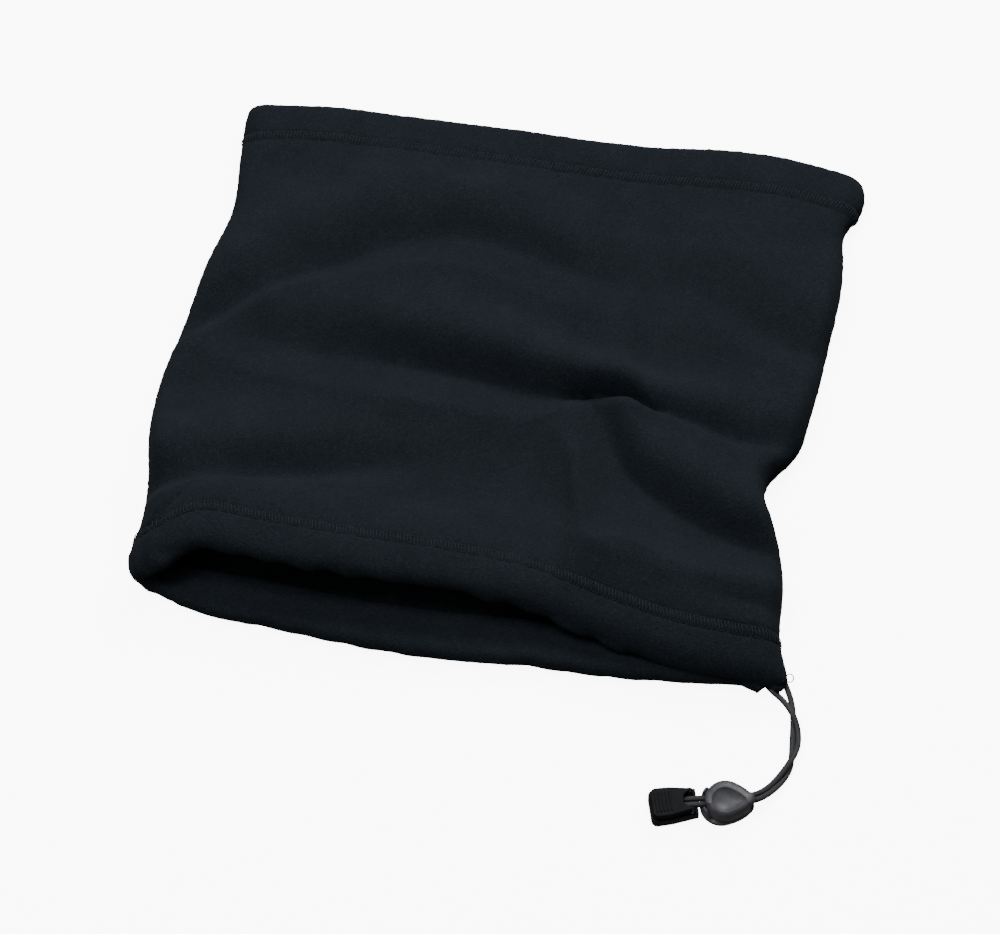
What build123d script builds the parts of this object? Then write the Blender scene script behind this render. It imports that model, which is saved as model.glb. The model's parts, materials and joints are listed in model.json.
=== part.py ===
"""Fleece neck gaiter with a drawcord hem, a squeeze cord lock and a hinged cord end clip.

Millimetres, +Z up. The gaiter lies flat on the plane Z = 0, with +X along its width and
the drawcord mouth facing -Y. The origin is the centre of its footprint.
"""
import math
import os

from build123d import *

# ---------------------------------------------------------------- fleece tube
LENGTH = 254.0               # along Y, mouth to plain top hem, at the middle
MOUTH_HALF_WIDTH = 136.0     # of the flattened tube, at the drawcord mouth
TOP_HALF_WIDTH = 132.0       # at the plain top hem
MOUTH_SAGITTA = 11.0         # how far the mouth's rim bows out past its corners
TOP_SAGITTA = 6.5            # the same for the top hem
MOUTH_EDGE_RADIUS = 7.0      # folded side edge, outside, at the mouth
TOP_EDGE_RADIUS = 6.0        # and at the top hem
STATIONS = (                 # (Y as a fraction of the length, height at the middle)
    (-0.52, 34.6),
    (-0.24, 26.0),
    (0.0, 22.0),
    (0.52, 18.0),
)
WALL = 3.0                   # one layer of fleece
FACING = 2.4                 # the turned-in layer of a hem
HEM_WIDTH = 20.5             # from the rim to the raw edge of the turned-in layer
STITCH_NEAR = 17.3           # coverstitch band, from the rim
STITCH_FAR = 21.3
STITCH_DEPTH = 0.45
CUTTER_HEIGHT = 120.0

SEAM_DEPTH = 7.0             # side seam allowance, inward from the wall
SEAM_HALF_THICKNESS = 2.1
SEAM_HALF_LENGTH = 94.0
SEAM_THREAD = 0.5

# ---------------------------------------------------------------- drawcord
CORD_DIAMETER = 2.5
CHANNEL_CLEARANCE = 0.2      # round the cord inside the hem
CHANNEL_INSET = 6.5          # cord axis, from the rim
CHANNEL_OVERRUN = 3.0        # of the channel's cutter past each exit
STRAND_HALF_PITCH = 1.3      # two strands side by side in the lock and the clip
FLOOR_HEIGHT = 1.35          # axis of a strand that lies on the surface
ARC_SHARE = 0.45             # of the shorter run, taken by the arc at a corner

EXIT_A = (124.3, -117.8, 3.0)        # strand A leaves the lower layer of the hem
EXIT_B = (134.3, -116.6, 3.7)        # strand B leaves the folded edge of the hem
BARTACK_X = (120.6, 129.2)
BARTACK = (1.4, 1.2, 4.0)
BARTACK_HEIGHT = 2.6

# ---------------------------------------------------------------- cord lock
LOCK_CENTRE = (116.3, -173.2)
LOCK_YAW = 9.2               # degrees from +X; the pointed end faces +X
LOCK_CIRCLES = (             # teardrop outline: (centre along the lock, radius)
    (-2.35, 8.55),
    (3.2, 6.3),
    (7.8, 3.1),
)
LOCK_TIP = LOCK_CIRCLES[-1][0] + LOCK_CIRCLES[-1][1]
LOCK_BLUNT = LOCK_CIRCLES[0][0] - LOCK_CIRCLES[0][1]
LOCK_WALL = 1.2
LOCK_FLOOR = 0.9
CUP_TOP = 7.4
CORD_HEIGHT = 5.1            # axis of both strands through the lock and the clip
PASSAGE_WIDTH = 5.7
PASSAGE_HALF_HEIGHT = 1.5
BUTTON_GAP = 0.3             # between the button and the cup
BUTTON_SKIRT = 5.4           # lowest edge of the button's plug
BUTTON_TOP = 10.3
BUTTON_ROUND = 1.3
PRESS_TRAVEL = 1.4
SLIDE_TRAVEL = 4.0
STEM_LENGTH = 8.0
STEM_WIDTH = 9.6
STEM_BAR = 0.9               # crossbar that pulls the strands up against the cup
GRIP_GAP = 0.1               # crossbar to strands
SLOT_ROOF = CORD_HEIGHT + CORD_DIAMETER / 2 + PRESS_TRAVEL + 0.2
STEM_BOTTOM = CORD_HEIGHT - CORD_DIAMETER / 2 - GRIP_GAP - STEM_BAR
DISH_SCALE = 0.62            # thumb dish, as a share of the teardrop
DISH_DEPTH = 1.1
DISH_TAPER = 35.0

SPRING_RADIUS = 2.3
SPRING_WIRE = 0.4
SPRING_TURNS = 2.5

# ---------------------------------------------------------------- cord end clip
CLIP_YAW = 17.0
CLIP_LENGTH = 19.0
CLIP_FAR_HALF_WIDTH = 7.2
CLIP_MID_HALF_WIDTH = 6.9
CLIP_NEAR_HALF_WIDTH = 5.5
CLIP_TO_LOCK = 1.2
CLIP_SPLIT = 5.0             # top of the base
CLIP_TOP = 8.2
CLIP_GAP = 0.15              # between base and lid when shut
CLIP_CORNER = 2.6
CLIP_FLOOR = 1.2
KNOT_SIZE = (5.6, 6.4, 4.4)
KNOT_ROUND = 1.8
KNOT_ROOM = (7.6, 8.0)       # length and width of the cavity
KNOT_X = -0.4                # clip axis, from the clip's middle
LID_ROOF = 7.3
LID_INSET = 0.6
HINGE_X = 6.8
HINGE_HEIGHT = 5.6
HINGE_PIN_RADIUS = 0.6
KNUCKLE_RADIUS = 1.5
KNUCKLE_CLEARANCE = 0.2
BASE_EAR = (3.15, 4.2)       # spans across the clip, from its axis
LID_KNUCKLE = (4.35, 5.35)
LID_CUTOUT_RADIUS = 3.6
RIB_COUNT = 5
RIB_PITCH = 1.45
RIB_SIZE = (0.6, 8.4, 0.45)
RIB_START = -7.0


# ---------------------------------------------------------------- helpers
def save(shape, name):
    """Write one sub-part to its own file."""
    shape.label = name
    export_step(shape, f"parts/{name}.step")
    print(f"{name}: {shape.volume:.1f} mm3")


def share_along(y):
    """0 at the mouth, 1 at the top hem."""
    return (y + LENGTH / 2) / LENGTH


def half_width(y):
    return MOUTH_HALF_WIDTH + (TOP_HALF_WIDTH - MOUTH_HALF_WIDTH) * share_along(y)


def edge_radius(y):
    return MOUTH_EDGE_RADIUS + (TOP_EDGE_RADIUS - MOUTH_EDGE_RADIUS) * share_along(y)


def middle_height(y):
    """Height of the tube's outside at X = 0, straight between the stations."""
    for (low, low_height), (high, high_height) in zip(STATIONS, STATIONS[1:]):
        if y <= high * LENGTH:
            part = (y / LENGTH - low) / (high - low)
            return low_height + (high_height - low_height) * part
    return STATIONS[-1][1]


def arc_radius(half_chord, sagitta):
    return (half_chord ** 2 + sagitta ** 2) / (2 * sagitta)


MOUTH_RADIUS = arc_radius(MOUTH_HALF_WIDTH, MOUTH_SAGITTA)
TOP_RADIUS = arc_radius(TOP_HALF_WIDTH, TOP_SAGITTA)


def rim_y(x):
    """Where the mouth's rim is at a given X."""
    return -LENGTH / 2 + MOUTH_RADIUS - math.sqrt(MOUTH_RADIUS ** 2 - x ** 2)


def upper_height(x, y, inset):
    """Height of the upper layer at (x, y), a given depth under its outside."""
    low = 2 * edge_radius(y) - inset
    high = middle_height(y) - inset
    radius = arc_radius(half_width(y) - edge_radius(y), high - low)
    return high - radius + math.sqrt(radius ** 2 - x ** 2)


# ---------------------------------------------------------------- fleece
def tube_section(y, inset):
    """Flat underside, round folded edges and a crowned upper layer."""
    radius = edge_radius(y)
    side = half_width(y) - radius
    low = inset
    high = 2 * radius - inset
    crown = middle_height(y) - inset
    reach = side + radius - inset
    outline = (
        Line((-side, low), (side, low))
        + ThreePointArc((side, low), (reach, radius), (side, high))
        + ThreePointArc((side, high), (0, crown), (-side, high))
        + ThreePointArc((-side, high), (-reach, radius), (-side, low))
    )
    plane = Plane(origin=(0, y, 0), x_dir=(1, 0, 0), z_dir=(0, -1, 0))
    return plane * make_face(outline)


def tube_solid(inset):
    sections = [tube_section(share * LENGTH, inset) for share, _ in STATIONS]
    return loft(sections, ruled=True)


def mouth_disc(inset):
    """Everything more than inset behind the mouth's rim."""
    return Pos(0, -LENGTH / 2 + MOUTH_RADIUS, 0) * Cylinder(MOUTH_RADIUS - inset, CUTTER_HEIGHT)


def top_disc(inset):
    """Everything more than inset short of the top hem's rim."""
    return Pos(0, LENGTH / 2 - TOP_RADIUS, 0) * Cylinder(TOP_RADIUS - inset, CUTTER_HEIGHT)


def seam_strip(outer, inner, half_thickness):
    """A strip along the inside of the right-hand edge, between two distances from it."""
    sections = []
    for y in (-SEAM_HALF_LENGTH, SEAM_HALF_LENGTH):
        plane = Plane(origin=(0, y, 0), x_dir=(1, 0, 0), z_dir=(0, -1, 0))
        middle = half_width(y) - (outer + inner) / 2
        shape = Pos(middle, edge_radius(y)) * Rectangle(inner - outer, 2 * half_thickness)
        sections.append(plane * shape)
    return loft(sections, ruled=True)


def stitch_band(disc):
    skin = tube_solid(0) - tube_solid(STITCH_DEPTH)
    return skin & (disc(STITCH_NEAR) - disc(STITCH_FAR))


def hem_facing(disc):
    layer = tube_solid(WALL) - tube_solid(WALL + FACING)
    return layer & (disc(0) - disc(HEM_WIDTH))


# ---------------------------------------------------------------- cords
def corner_radii(points):
    """One arc radius for each inner corner of a route."""
    radii = []
    for before, corner, after in zip(points, points[1:], points[2:]):
        run_in = Vector(*corner) - Vector(*before)
        run_out = Vector(*after) - Vector(*corner)
        half_turn = math.radians(run_in.get_angle(run_out)) / 2
        shorter = min(run_in.length, run_out.length)
        radii.append(ARC_SHARE * shorter / math.tan(half_turn))
    return radii


def cord_tube(points, diameter):
    """A round tube along straight runs joined by tangent arcs."""
    radii = corner_radii(points)
    path = FilletPolyline(*points, radius=radii)
    section = Plane(origin=path @ 0, z_dir=path % 0) * Circle(diameter / 2)
    return sweep(section, path=path), path


def report_cord(name, tube, path, points):
    area = math.pi * CORD_DIAMETER ** 2 / 4
    radii = ", ".join(f"{radius:.1f}" for radius in corner_radii(points))
    print(f"{name}: length {path.length:.1f} mm, volume / (section x length) "
          f"{tube.volume / (area * path.length):.4f}, radii {radii}")


def lock_point(along, across, height):
    """A point given in the lock's own axes, in the frame of the gaiter."""
    turned = Vector(along, across, height).rotate(Axis.Z, LOCK_YAW)
    return tuple(turned + Vector(*LOCK_CENTRE, 0))


CLIP_ENTRY = lock_point(LOCK_BLUNT - CLIP_TO_LOCK, 0, 0)
CLIP_MIDDLE = Vector(*CLIP_ENTRY) - Vector(CLIP_LENGTH / 2, 0, 0).rotate(Axis.Z, CLIP_YAW)


def clip_point(along, across, height):
    """A point given in the clip's own axes, in the frame of the gaiter."""
    turned = Vector(along, across, height).rotate(Axis.Z, CLIP_YAW)
    return tuple(turned + CLIP_MIDDLE)


def channel_point(x, height):
    return (x, rim_y(x) + CHANNEL_INSET, height)


def upper_channel_point(x):
    y = rim_y(x) + CHANNEL_INSET
    return (x, y, upper_height(x, y, WALL))


def held_route():
    """Round the mouth inside the hem, from exit A under and over to exit B."""
    left = -MOUTH_HALF_WIDTH + WALL
    lower = [channel_point(x, WALL) for x in (116.0, 70.0, 20.0, -30.0, -80.0)]
    edge = [
        channel_point(left, WALL),
        channel_point(left, 2 * MOUTH_EDGE_RADIUS - WALL),
    ]
    upper = [upper_channel_point(x) for x in (-80.0, -30.0, 20.0, 70.0, 112.0)]
    turn_down = [(132.4, -110.1, 11.0), (132.0, -110.5, 4.0)]
    return [EXIT_A] + lower + edge + upper + turn_down + [EXIT_B]


def channel_cutter():
    """Room round the held cord, run on in a straight line past both exits."""
    diameter = CORD_DIAMETER + 2 * CHANNEL_CLEARANCE
    cutter, path = cord_tube(held_route(), diameter)
    for place, way in ((path @ 0, path % 0 * -1), (path @ 1, path % 1)):
        run_on = Pos(0, 0, CHANNEL_OVERRUN / 2) * Cylinder(diameter / 2, CHANNEL_OVERRUN)
        cutter += Plane(origin=place, z_dir=way) * run_on
    return cutter


def tail_points(side):
    """The straight stretch through the lock, then into the clip as far as the knot."""
    across = side * STRAND_HALF_PITCH
    return [
        lock_point(LOCK_TIP + 7.2, across, CORD_HEIGHT),
        lock_point(LOCK_BLUNT - 0.6, across, CORD_HEIGHT),
        clip_point(KNOT_X + KNOT_SIZE[0] / 2, across, CORD_HEIGHT),
    ]


STRAND_A = [
    EXIT_A,
    (129.66, -121.22, 3.0),
    (134.0, -125.9, 4.4),
    (138.3, -131.4, 4.4),
    (141.3, -138.3, 1.9),
    (141.9, -145.0, 2.2),
    (141.2, -151.0, 4.5),
    (139.0, -157.6, 4.5),
    (138.4, -162.4, 4.8),
] + tail_points(1)

STRAND_B = [
    EXIT_B,
    (136.06, -121.27, 3.47),
    (137.4, -128.2, FLOOR_HEIGHT),
    (137.2, -136.2, FLOOR_HEIGHT),
    (138.0, -144.8, FLOOR_HEIGHT),
    (140.0, -152.8, FLOOR_HEIGHT),
    (142.2, -159.4, 1.6),
    (140.9, -166.0, 3.4),
] + tail_points(-1)


# ---------------------------------------------------------------- cord lock
def teardrop(inset=0.0, scale=1.0):
    """Outline of the lock, as the hull of three circles."""
    edges = []
    for along, radius in LOCK_CIRCLES:
        circle = Pos(along * scale) * Circle((radius - inset) * scale)
        edges += circle.edges()
    return make_hull(edges)


def prism(face, low, high):
    return Pos(0, 0, low) * extrude(face, high - low)


def block(size, centre):
    return Pos(*centre) * Box(*size)


def in_lock_place(shape):
    return Pos(*LOCK_CENTRE, 0) * Rot(0, 0, LOCK_YAW) * shape


def lock_housing():
    cup = prism(teardrop(), 0, CUP_TOP)
    cup = fillet(cup.faces().sort_by(Axis.Z)[0].outer_wire().edges(), 0.6)
    cup -= prism(teardrop(LOCK_WALL), LOCK_FLOOR, CUP_TOP + 1)
    passage = (3 * LOCK_TIP, PASSAGE_WIDTH, 2 * PASSAGE_HALF_HEIGHT)
    return cup - block(passage, (0, 0, CORD_HEIGHT))


def lock_button():
    outline = teardrop(LOCK_WALL + BUTTON_GAP)
    plug = prism(outline, BUTTON_SKIRT, BUTTON_TOP)
    plug = fillet(plug.faces().sort_by(Axis.Z)[-1].outer_wire().edges(), BUTTON_ROUND)
    dish = extrude(Pos(0, 0, BUTTON_TOP - DISH_DEPTH) * teardrop(scale=DISH_SCALE),
                   2 * DISH_DEPTH, taper=-DISH_TAPER)
    stem_height = BUTTON_SKIRT - STEM_BOTTOM + 1
    stem = block((STEM_LENGTH, STEM_WIDTH, stem_height), (0, 0, STEM_BOTTOM + stem_height / 2))
    slot_low = STEM_BOTTOM + STEM_BAR
    slot = (3 * LOCK_TIP, PASSAGE_WIDTH, SLOT_ROOF - slot_low)
    return plug - dish + stem - block(slot, (0, 0, (SLOT_ROOF + slot_low) / 2))


def lock_spring():
    """Compression coil between the cup's floor and the button's crossbar."""
    rise = STEM_BOTTOM - LOCK_FLOOR - SPRING_WIRE
    helix = Helix(pitch=rise / SPRING_TURNS, height=rise, radius=SPRING_RADIUS)
    wire = Plane(origin=helix @ 0, z_dir=helix % 0) * Circle(SPRING_WIRE / 2)
    return Pos(0, 0, LOCK_FLOOR + SPRING_WIRE / 2) * sweep(wire, path=helix, is_frenet=True)


# ---------------------------------------------------------------- cord end clip
def clip_outline(inset=0.0, near_end=CLIP_LENGTH / 2):
    far = -CLIP_LENGTH / 2 + inset
    corners = [
        (far, CLIP_FAR_HALF_WIDTH - inset),
        (-1.0, CLIP_MID_HALF_WIDTH - inset),
        (near_end, CLIP_NEAR_HALF_WIDTH - inset),
    ]
    mirrored = [(x, -y) for x, y in reversed(corners)]
    face = make_face(Polyline(*corners, *mirrored, close=True))
    rounded = face.vertices().group_by(Axis.X)[0]
    return fillet(rounded, CLIP_CORNER)


def hinge_cylinder(radius, span, side):
    """A cylinder on the hinge axis, on one side of the cords."""
    low, high = span
    middle = side * (low + high) / 2
    return Pos(HINGE_X, middle, HINGE_HEIGHT) * Rot(90, 0, 0) * Cylinder(radius, high - low)


def grown(span, margin):
    low, high = span
    return (low - margin, high + margin)


def knot_cavity(low, high):
    length, width = KNOT_ROOM
    return block((length, width, high - low), (KNOT_X, 0, (low + high) / 2))


def clip_passage():
    """The way for both strands, from the near end to the knot."""
    near = CLIP_LENGTH / 2 + 1
    height = 2 * PASSAGE_HALF_HEIGHT
    return block((near - KNOT_X, PASSAGE_WIDTH, height), ((near + KNOT_X) / 2, 0, CORD_HEIGHT))


def in_clip_place(shape):
    return Pos(*CLIP_MIDDLE) * Rot(0, 0, CLIP_YAW) * shape


def clip_base():
    body = prism(clip_outline(), 0, CLIP_SPLIT)
    body = fillet(body.faces().sort_by(Axis.Z)[0].outer_wire().edges(), 0.8)
    body -= knot_cavity(CLIP_FLOOR, CLIP_TOP)
    for side in (-1, 1):
        room = KNUCKLE_RADIUS + KNUCKLE_CLEARANCE
        body -= hinge_cylinder(room, grown(LID_KNUCKLE, KNUCKLE_CLEARANCE), side)
        body += hinge_cylinder(KNUCKLE_RADIUS, BASE_EAR, side)
        body -= hinge_cylinder(HINGE_PIN_RADIUS, (0, CLIP_FAR_HALF_WIDTH), side)
    return body - clip_passage()


def clip_lid():
    low = CLIP_SPLIT + CLIP_GAP
    body = prism(clip_outline(LID_INSET, HINGE_X), low, CLIP_TOP)
    body = fillet(body.faces().sort_by(Axis.Z)[-1].outer_wire().edges(), 0.7)
    body -= knot_cavity(0, LID_ROOF)
    body -= Pos(HINGE_X + 0.6, 0, CLIP_TOP) * Cylinder(LID_CUTOUT_RADIUS, 2 * CLIP_TOP)
    for side in (-1, 1):
        room = KNUCKLE_RADIUS + KNUCKLE_CLEARANCE
        body -= hinge_cylinder(room, grown(BASE_EAR, KNUCKLE_CLEARANCE), side)
        body += hinge_cylinder(KNUCKLE_RADIUS, LID_KNUCKLE, side)
        body -= hinge_cylinder(HINGE_PIN_RADIUS + 0.05, (0, CLIP_FAR_HALF_WIDTH), side)
    for index in range(RIB_COUNT):
        height = CLIP_TOP + RIB_SIZE[2] / 2 - 0.05
        body += block(RIB_SIZE, (RIB_START + index * RIB_PITCH, 0, height))
    return body - clip_passage()


def hinge_pins():
    span = (BASE_EAR[0], LID_KNUCKLE[1])
    pins = [hinge_cylinder(HINGE_PIN_RADIUS, span, side) for side in (-1, 1)]
    return Compound(children=pins)


def end_knot(strands):
    """Both strands tied together behind the clip's entry."""
    body = fillet(Box(*KNOT_SIZE).edges(), KNOT_ROUND)
    placed = in_clip_place(Pos(KNOT_X, 0, CORD_HEIGHT) * body)
    for strand in strands:
        placed -= strand
    return placed


# ---------------------------------------------------------------- the model
def bartacks():
    """Dense stitches that close the hem beside each cord exit."""
    tacks = [block(BARTACK, (x, rim_y(x) + BARTACK[1] / 2 - 0.2, BARTACK_HEIGHT)) for x in BARTACK_X]
    return Compound(children=tacks)


def build():
    os.makedirs("parts", exist_ok=True)

    held, held_path = cord_tube(held_route(), CORD_DIAMETER)
    channel = channel_cutter()
    strand_a, path_a = cord_tube(STRAND_A, CORD_DIAMETER)
    strand_b, path_b = cord_tube(STRAND_B, CORD_DIAMETER)
    report_cord("held cord", held, held_path, held_route())
    report_cord("strand A", strand_a, path_a, STRAND_A)
    report_cord("strand B", strand_b, path_b, STRAND_B)
    save(held, "drawcord_in_channel")
    save(strand_a, "drawcord_strand_a")
    save(strand_b, "drawcord_strand_b")

    top_stitching = stitch_band(top_disc)
    mouth_stitching = stitch_band(mouth_disc)
    tacks = bartacks()
    fleece = (tube_solid(0) - tube_solid(WALL)) & mouth_disc(0) & top_disc(0)
    fleece += seam_strip(WALL - 0.5, WALL + SEAM_DEPTH, SEAM_HALF_THICKNESS)
    facing = hem_facing(mouth_disc) - channel
    fleece = fleece - top_stitching - mouth_stitching - channel
    for tack in tacks.solids():
        fleece -= tack
        facing -= tack
    seam_edge = WALL + SEAM_DEPTH
    save(fleece, "fleece_body")
    save(hem_facing(top_disc), "top_hem_facing")
    save(facing, "drawcord_hem_facing")
    save(top_stitching, "top_hem_stitching")
    save(mouth_stitching, "drawcord_hem_stitching")
    save(seam_strip(seam_edge, seam_edge + SEAM_THREAD, SEAM_HALF_THICKNESS), "side_seam_stitching")
    save(tacks, "cord_exit_bartacks")

    save(in_lock_place(lock_housing()), "cord_lock_housing")
    save(in_lock_place(lock_button()), "cord_lock_button")
    save(in_lock_place(lock_spring()), "cord_lock_spring")
    save(in_clip_place(clip_base()), "end_clip_base")
    save(in_clip_place(clip_lid()), "end_clip_lid")
    save(in_clip_place(hinge_pins()), "end_clip_hinge_pins")
    save(end_knot((strand_a, strand_b)), "cord_end_knot")

    hinge = clip_point(HINGE_X, 0, HINGE_HEIGHT)
    print("clip hinge at", [round(value, 3) for value in hinge])
    print("lid axis", [round(value, 5) for value in Vector(0, 1, 0).rotate(Axis.Z, CLIP_YAW)])
    print("lock slide axis", [round(value, 5) for value in Vector(1, 0, 0).rotate(Axis.Z, LOCK_YAW)])


build()
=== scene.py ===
"""Looks of the fleece neck gaiter: a folded fleece tube, its stitches, drawcord and fittings."""
import json
import math

import bpy
import numpy as np
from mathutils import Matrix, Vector


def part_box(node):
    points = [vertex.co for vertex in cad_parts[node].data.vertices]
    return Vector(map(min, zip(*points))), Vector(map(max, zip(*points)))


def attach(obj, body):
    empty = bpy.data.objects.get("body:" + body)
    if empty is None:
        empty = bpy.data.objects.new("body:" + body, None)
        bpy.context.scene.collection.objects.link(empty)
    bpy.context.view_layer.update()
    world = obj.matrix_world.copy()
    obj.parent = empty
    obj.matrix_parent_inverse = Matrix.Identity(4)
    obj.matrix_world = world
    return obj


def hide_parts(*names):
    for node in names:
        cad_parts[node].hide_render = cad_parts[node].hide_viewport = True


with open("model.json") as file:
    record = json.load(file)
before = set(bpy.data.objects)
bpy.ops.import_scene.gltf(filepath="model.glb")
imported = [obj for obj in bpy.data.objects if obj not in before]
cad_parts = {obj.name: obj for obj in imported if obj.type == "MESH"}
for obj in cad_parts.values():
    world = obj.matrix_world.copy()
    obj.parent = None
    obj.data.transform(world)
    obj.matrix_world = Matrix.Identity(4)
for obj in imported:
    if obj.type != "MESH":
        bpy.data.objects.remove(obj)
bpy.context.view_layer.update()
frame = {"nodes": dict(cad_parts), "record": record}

MM = 0.001
SEED = 7

# ---------------------------------------------------------------- camera and light
CAMERA_AZIMUTH = math.radians(9.4)
CAMERA_ELEVATION = math.radians(60.0)
CAMERA_DISTANCE = 1.9
CAMERA_TARGET = (0.0027, -0.0398, 0.010)
CAMERA_LENS = 166.0
WORLD_LIGHT = 0.27


def add_camera():
    back = Vector((
        math.sin(CAMERA_AZIMUTH) * math.cos(CAMERA_ELEVATION),
        -math.cos(CAMERA_AZIMUTH) * math.cos(CAMERA_ELEVATION),
        math.sin(CAMERA_ELEVATION),
    ))
    data = bpy.data.cameras.new("camera")
    data.lens = CAMERA_LENS
    data.clip_end = 20.0
    camera = bpy.data.objects.new("camera", data)
    camera.location = Vector(CAMERA_TARGET) + back * CAMERA_DISTANCE
    camera.rotation_euler = back.to_track_quat("Z", "Y").to_euler()
    bpy.context.scene.collection.objects.link(camera)
    bpy.context.scene.camera = camera


def add_area_light(name, place, size, watts):
    """A rectangular lamp that faces the origin."""
    data = bpy.data.lights.new(name, "AREA")
    data.shape = "RECTANGLE"
    data.size, data.size_y = size
    data.energy = watts
    light = bpy.data.objects.new(name, data)
    light.location = place
    light.rotation_euler = Vector(place).to_track_quat("Z", "Y").to_euler()
    bpy.context.scene.collection.objects.link(light)


def add_light():
    add_area_light("key", (0.45, 1.2, 1.3), (1.1, 0.7), 48.0)
    add_area_light("top", (-0.6, 0.0, 1.8), (0.9, 0.9), 42.0)
    add_area_light("front", (-0.9, -1.4, 1.3), (0.9, 0.6), 5.0)
    world = bpy.data.worlds.new("studio")
    world.use_nodes = True
    world.node_tree.nodes["Background"].inputs["Color"].default_value = (1.0, 1.0, 1.0, 1.0)
    world.node_tree.nodes["Background"].inputs["Strength"].default_value = WORLD_LIGHT
    bpy.context.scene.world = world


# ---------------------------------------------------------------- helpers
def smooth_curve(points, places):
    """Natural cubic spline through (place, value) points, level past both ends."""
    known = np.array(sorted(points), dtype=float)
    x, y = known[:, 0], known[:, 1]
    count = len(x)
    step = np.diff(x)
    slope = np.diff(y) / step
    system = np.eye(count)
    right = np.zeros(count)
    for i in range(1, count - 1):
        system[i, i - 1:i + 2] = step[i - 1], 2 * (step[i - 1] + step[i]), step[i]
        right[i] = 6 * (slope[i] - slope[i - 1])
    bend = np.linalg.solve(system, right)
    where = np.clip(places, x[0], x[-1])
    i = np.clip(np.searchsorted(x, where) - 1, 0, count - 2)
    a = x[i + 1] - where
    b = where - x[i]
    h = step[i]
    return ((bend[i] * a ** 3 + bend[i + 1] * b ** 3) / (6 * h)
            + (y[i] / h - bend[i] * h / 6) * a
            + (y[i + 1] / h - bend[i + 1] * h / 6) * b)


def unit(vectors):
    return vectors / np.maximum(np.linalg.norm(vectors, axis=-1, keepdims=True), 1e-9)


def add_mesh(name, vertices, faces):
    """A new object from points in millimetres."""
    mesh = bpy.data.meshes.new(name)
    mesh.from_pydata((np.asarray(vertices) * MM).tolist(), [], faces)
    mesh.validate()
    mesh.update()
    mesh.polygons.foreach_set("use_smooth", [True] * len(mesh.polygons))
    piece = bpy.data.objects.new(name, mesh)
    bpy.context.scene.collection.objects.link(piece)
    return piece


def grid_faces(rows, columns, closed, start=0):
    """Quads of a grid of points, whose columns may close into a ring."""
    faces = []
    last = columns if closed else columns - 1
    for i in range(rows - 1):
        for j in range(last):
            k = (j + 1) % columns
            a, b = start + i * columns, start + (i + 1) * columns
            faces.append((a + j, a + k, b + k, b + j))
    return faces


def tube_mesh(paths, radii, reference, sides):
    """Capped tubes: paths is (tubes, points, 3), radii (tubes, points), in mm."""
    tangent = unit(np.gradient(paths, axis=1))
    first = unit(np.cross(tangent, reference))
    second = np.cross(first, tangent)
    angle = np.arange(sides) * 2 * math.pi / sides
    ring = (first[:, :, None, :] * np.cos(angle)[:, None]
            + second[:, :, None, :] * np.sin(angle)[:, None])
    points = paths[:, :, None, :] + radii[:, :, None, None] * ring
    count, length = paths.shape[:2]
    faces = []
    for k in range(count):
        start = k * length * sides
        faces += grid_faces(length, sides, closed=True, start=start)
        faces.append(tuple(range(start, start + sides))[::-1])
        last = start + (length - 1) * sides
        faces.append(tuple(range(last, last + sides)))
    return points.reshape(-1, 3), faces


def join(parts):
    """One list of points and faces from several."""
    points, faces, start = [], [], 0
    for some_points, some_faces in parts:
        points.append(some_points)
        faces += [tuple(i + start for i in face) for face in some_faces]
        start += len(some_points)
    return np.concatenate(points), faces


# ---------------------------------------------------------------- the fleece's shape, in mm
LENGTH = 254.0
FABRIC = 2.7
MOUTH_HEM = 19.0
TOP_HEM = 19.0
MOUTH_ROLL = 2.7             # radius of the mid-surface round the rim, with the cord inside
TOP_ROLL = 2.0
HEM_REST = 2.9               # mid-surface to mid-surface at the stitching
STITCH_ROWS = (15.6, 19.6)   # needle lines, from the rim
REST_HEIGHT = 12.0
FLOOR_LAYER = 1.9
EDGE_SPAN = 14.0             # each quarter of a folded side edge, round the tube
FLAT_SPAN = 252.0
HALF_ROUND = 2 * EDGE_SPAN + FLAT_SPAN
ROUND = 2 * HALF_ROUND
HALF_WIDTH = 134.0
EDGE_SHARE = 0.04            # of the half width, taken by a folded edge

LEFT_EDGE = [(128, -128), (122, -131.5), (112, -132), (92, -131), (67, -129.3), (45, -133.5), (9, -138),
             (-16, -142), (-36, -143), (-52, -141.4), (-66, -138.5), (-80, -136.8), (-95, -136.5),
             (-108, -137.5),
             (-118, -134)]
RIGHT_EDGE = [(128, 127), (122, 132), (115, 133), (108, 131.5), (102, 128.4), (85, 128.3), (45, 128),
              (20, 126.2),
              (0, 124), (-13, 121), (-26, 112.5), (-36, 111), (-50, 116.5), (-63, 121.5), (-80, 124.5),
              (-100, 126), (-112, 129.5), (-120, 132.5), (-128, 134)]
TOP_LINE = [(-134, 119), (-110, 122.5), (-68, 124), (-8, 124.5), (30, 124.5), (62, 127), (105, 129),
            (134, 124)]
MOUTH_LOW_LINE = [(-134, -116), (-120, -121), (-105, -123.5), (-78, -125), (-52, -127), (-28, -127.6),
                  (-3, -127), (25, -125), (58, -124.5), (90, -122), (114, -119.5), (134, -117)]
MOUTH_HIGH_LINE = [(-134, -117), (-118, -107), (-96, -106), (-55, -107), (-6, -106.5), (23, -107),
                   (40, -109),
                   (56, -113), (77, -118), (97, -121), (114, -121), (134, -120)]
MOUTH_HEIGHT = [(-134, 23), (-118, 30), (-90, 31.5), (-50, 30.5), (-10, 28.5), (25, 25.5), (45, 23),
                (60, 22),
                (80, 20.5), (100, 19), (120, 16.5), (134, 13)]
MOUTH_REACH = 36.0           # how far back the open mouth lifts the upper layer
MOUTH_FADE = 6.5
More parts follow.
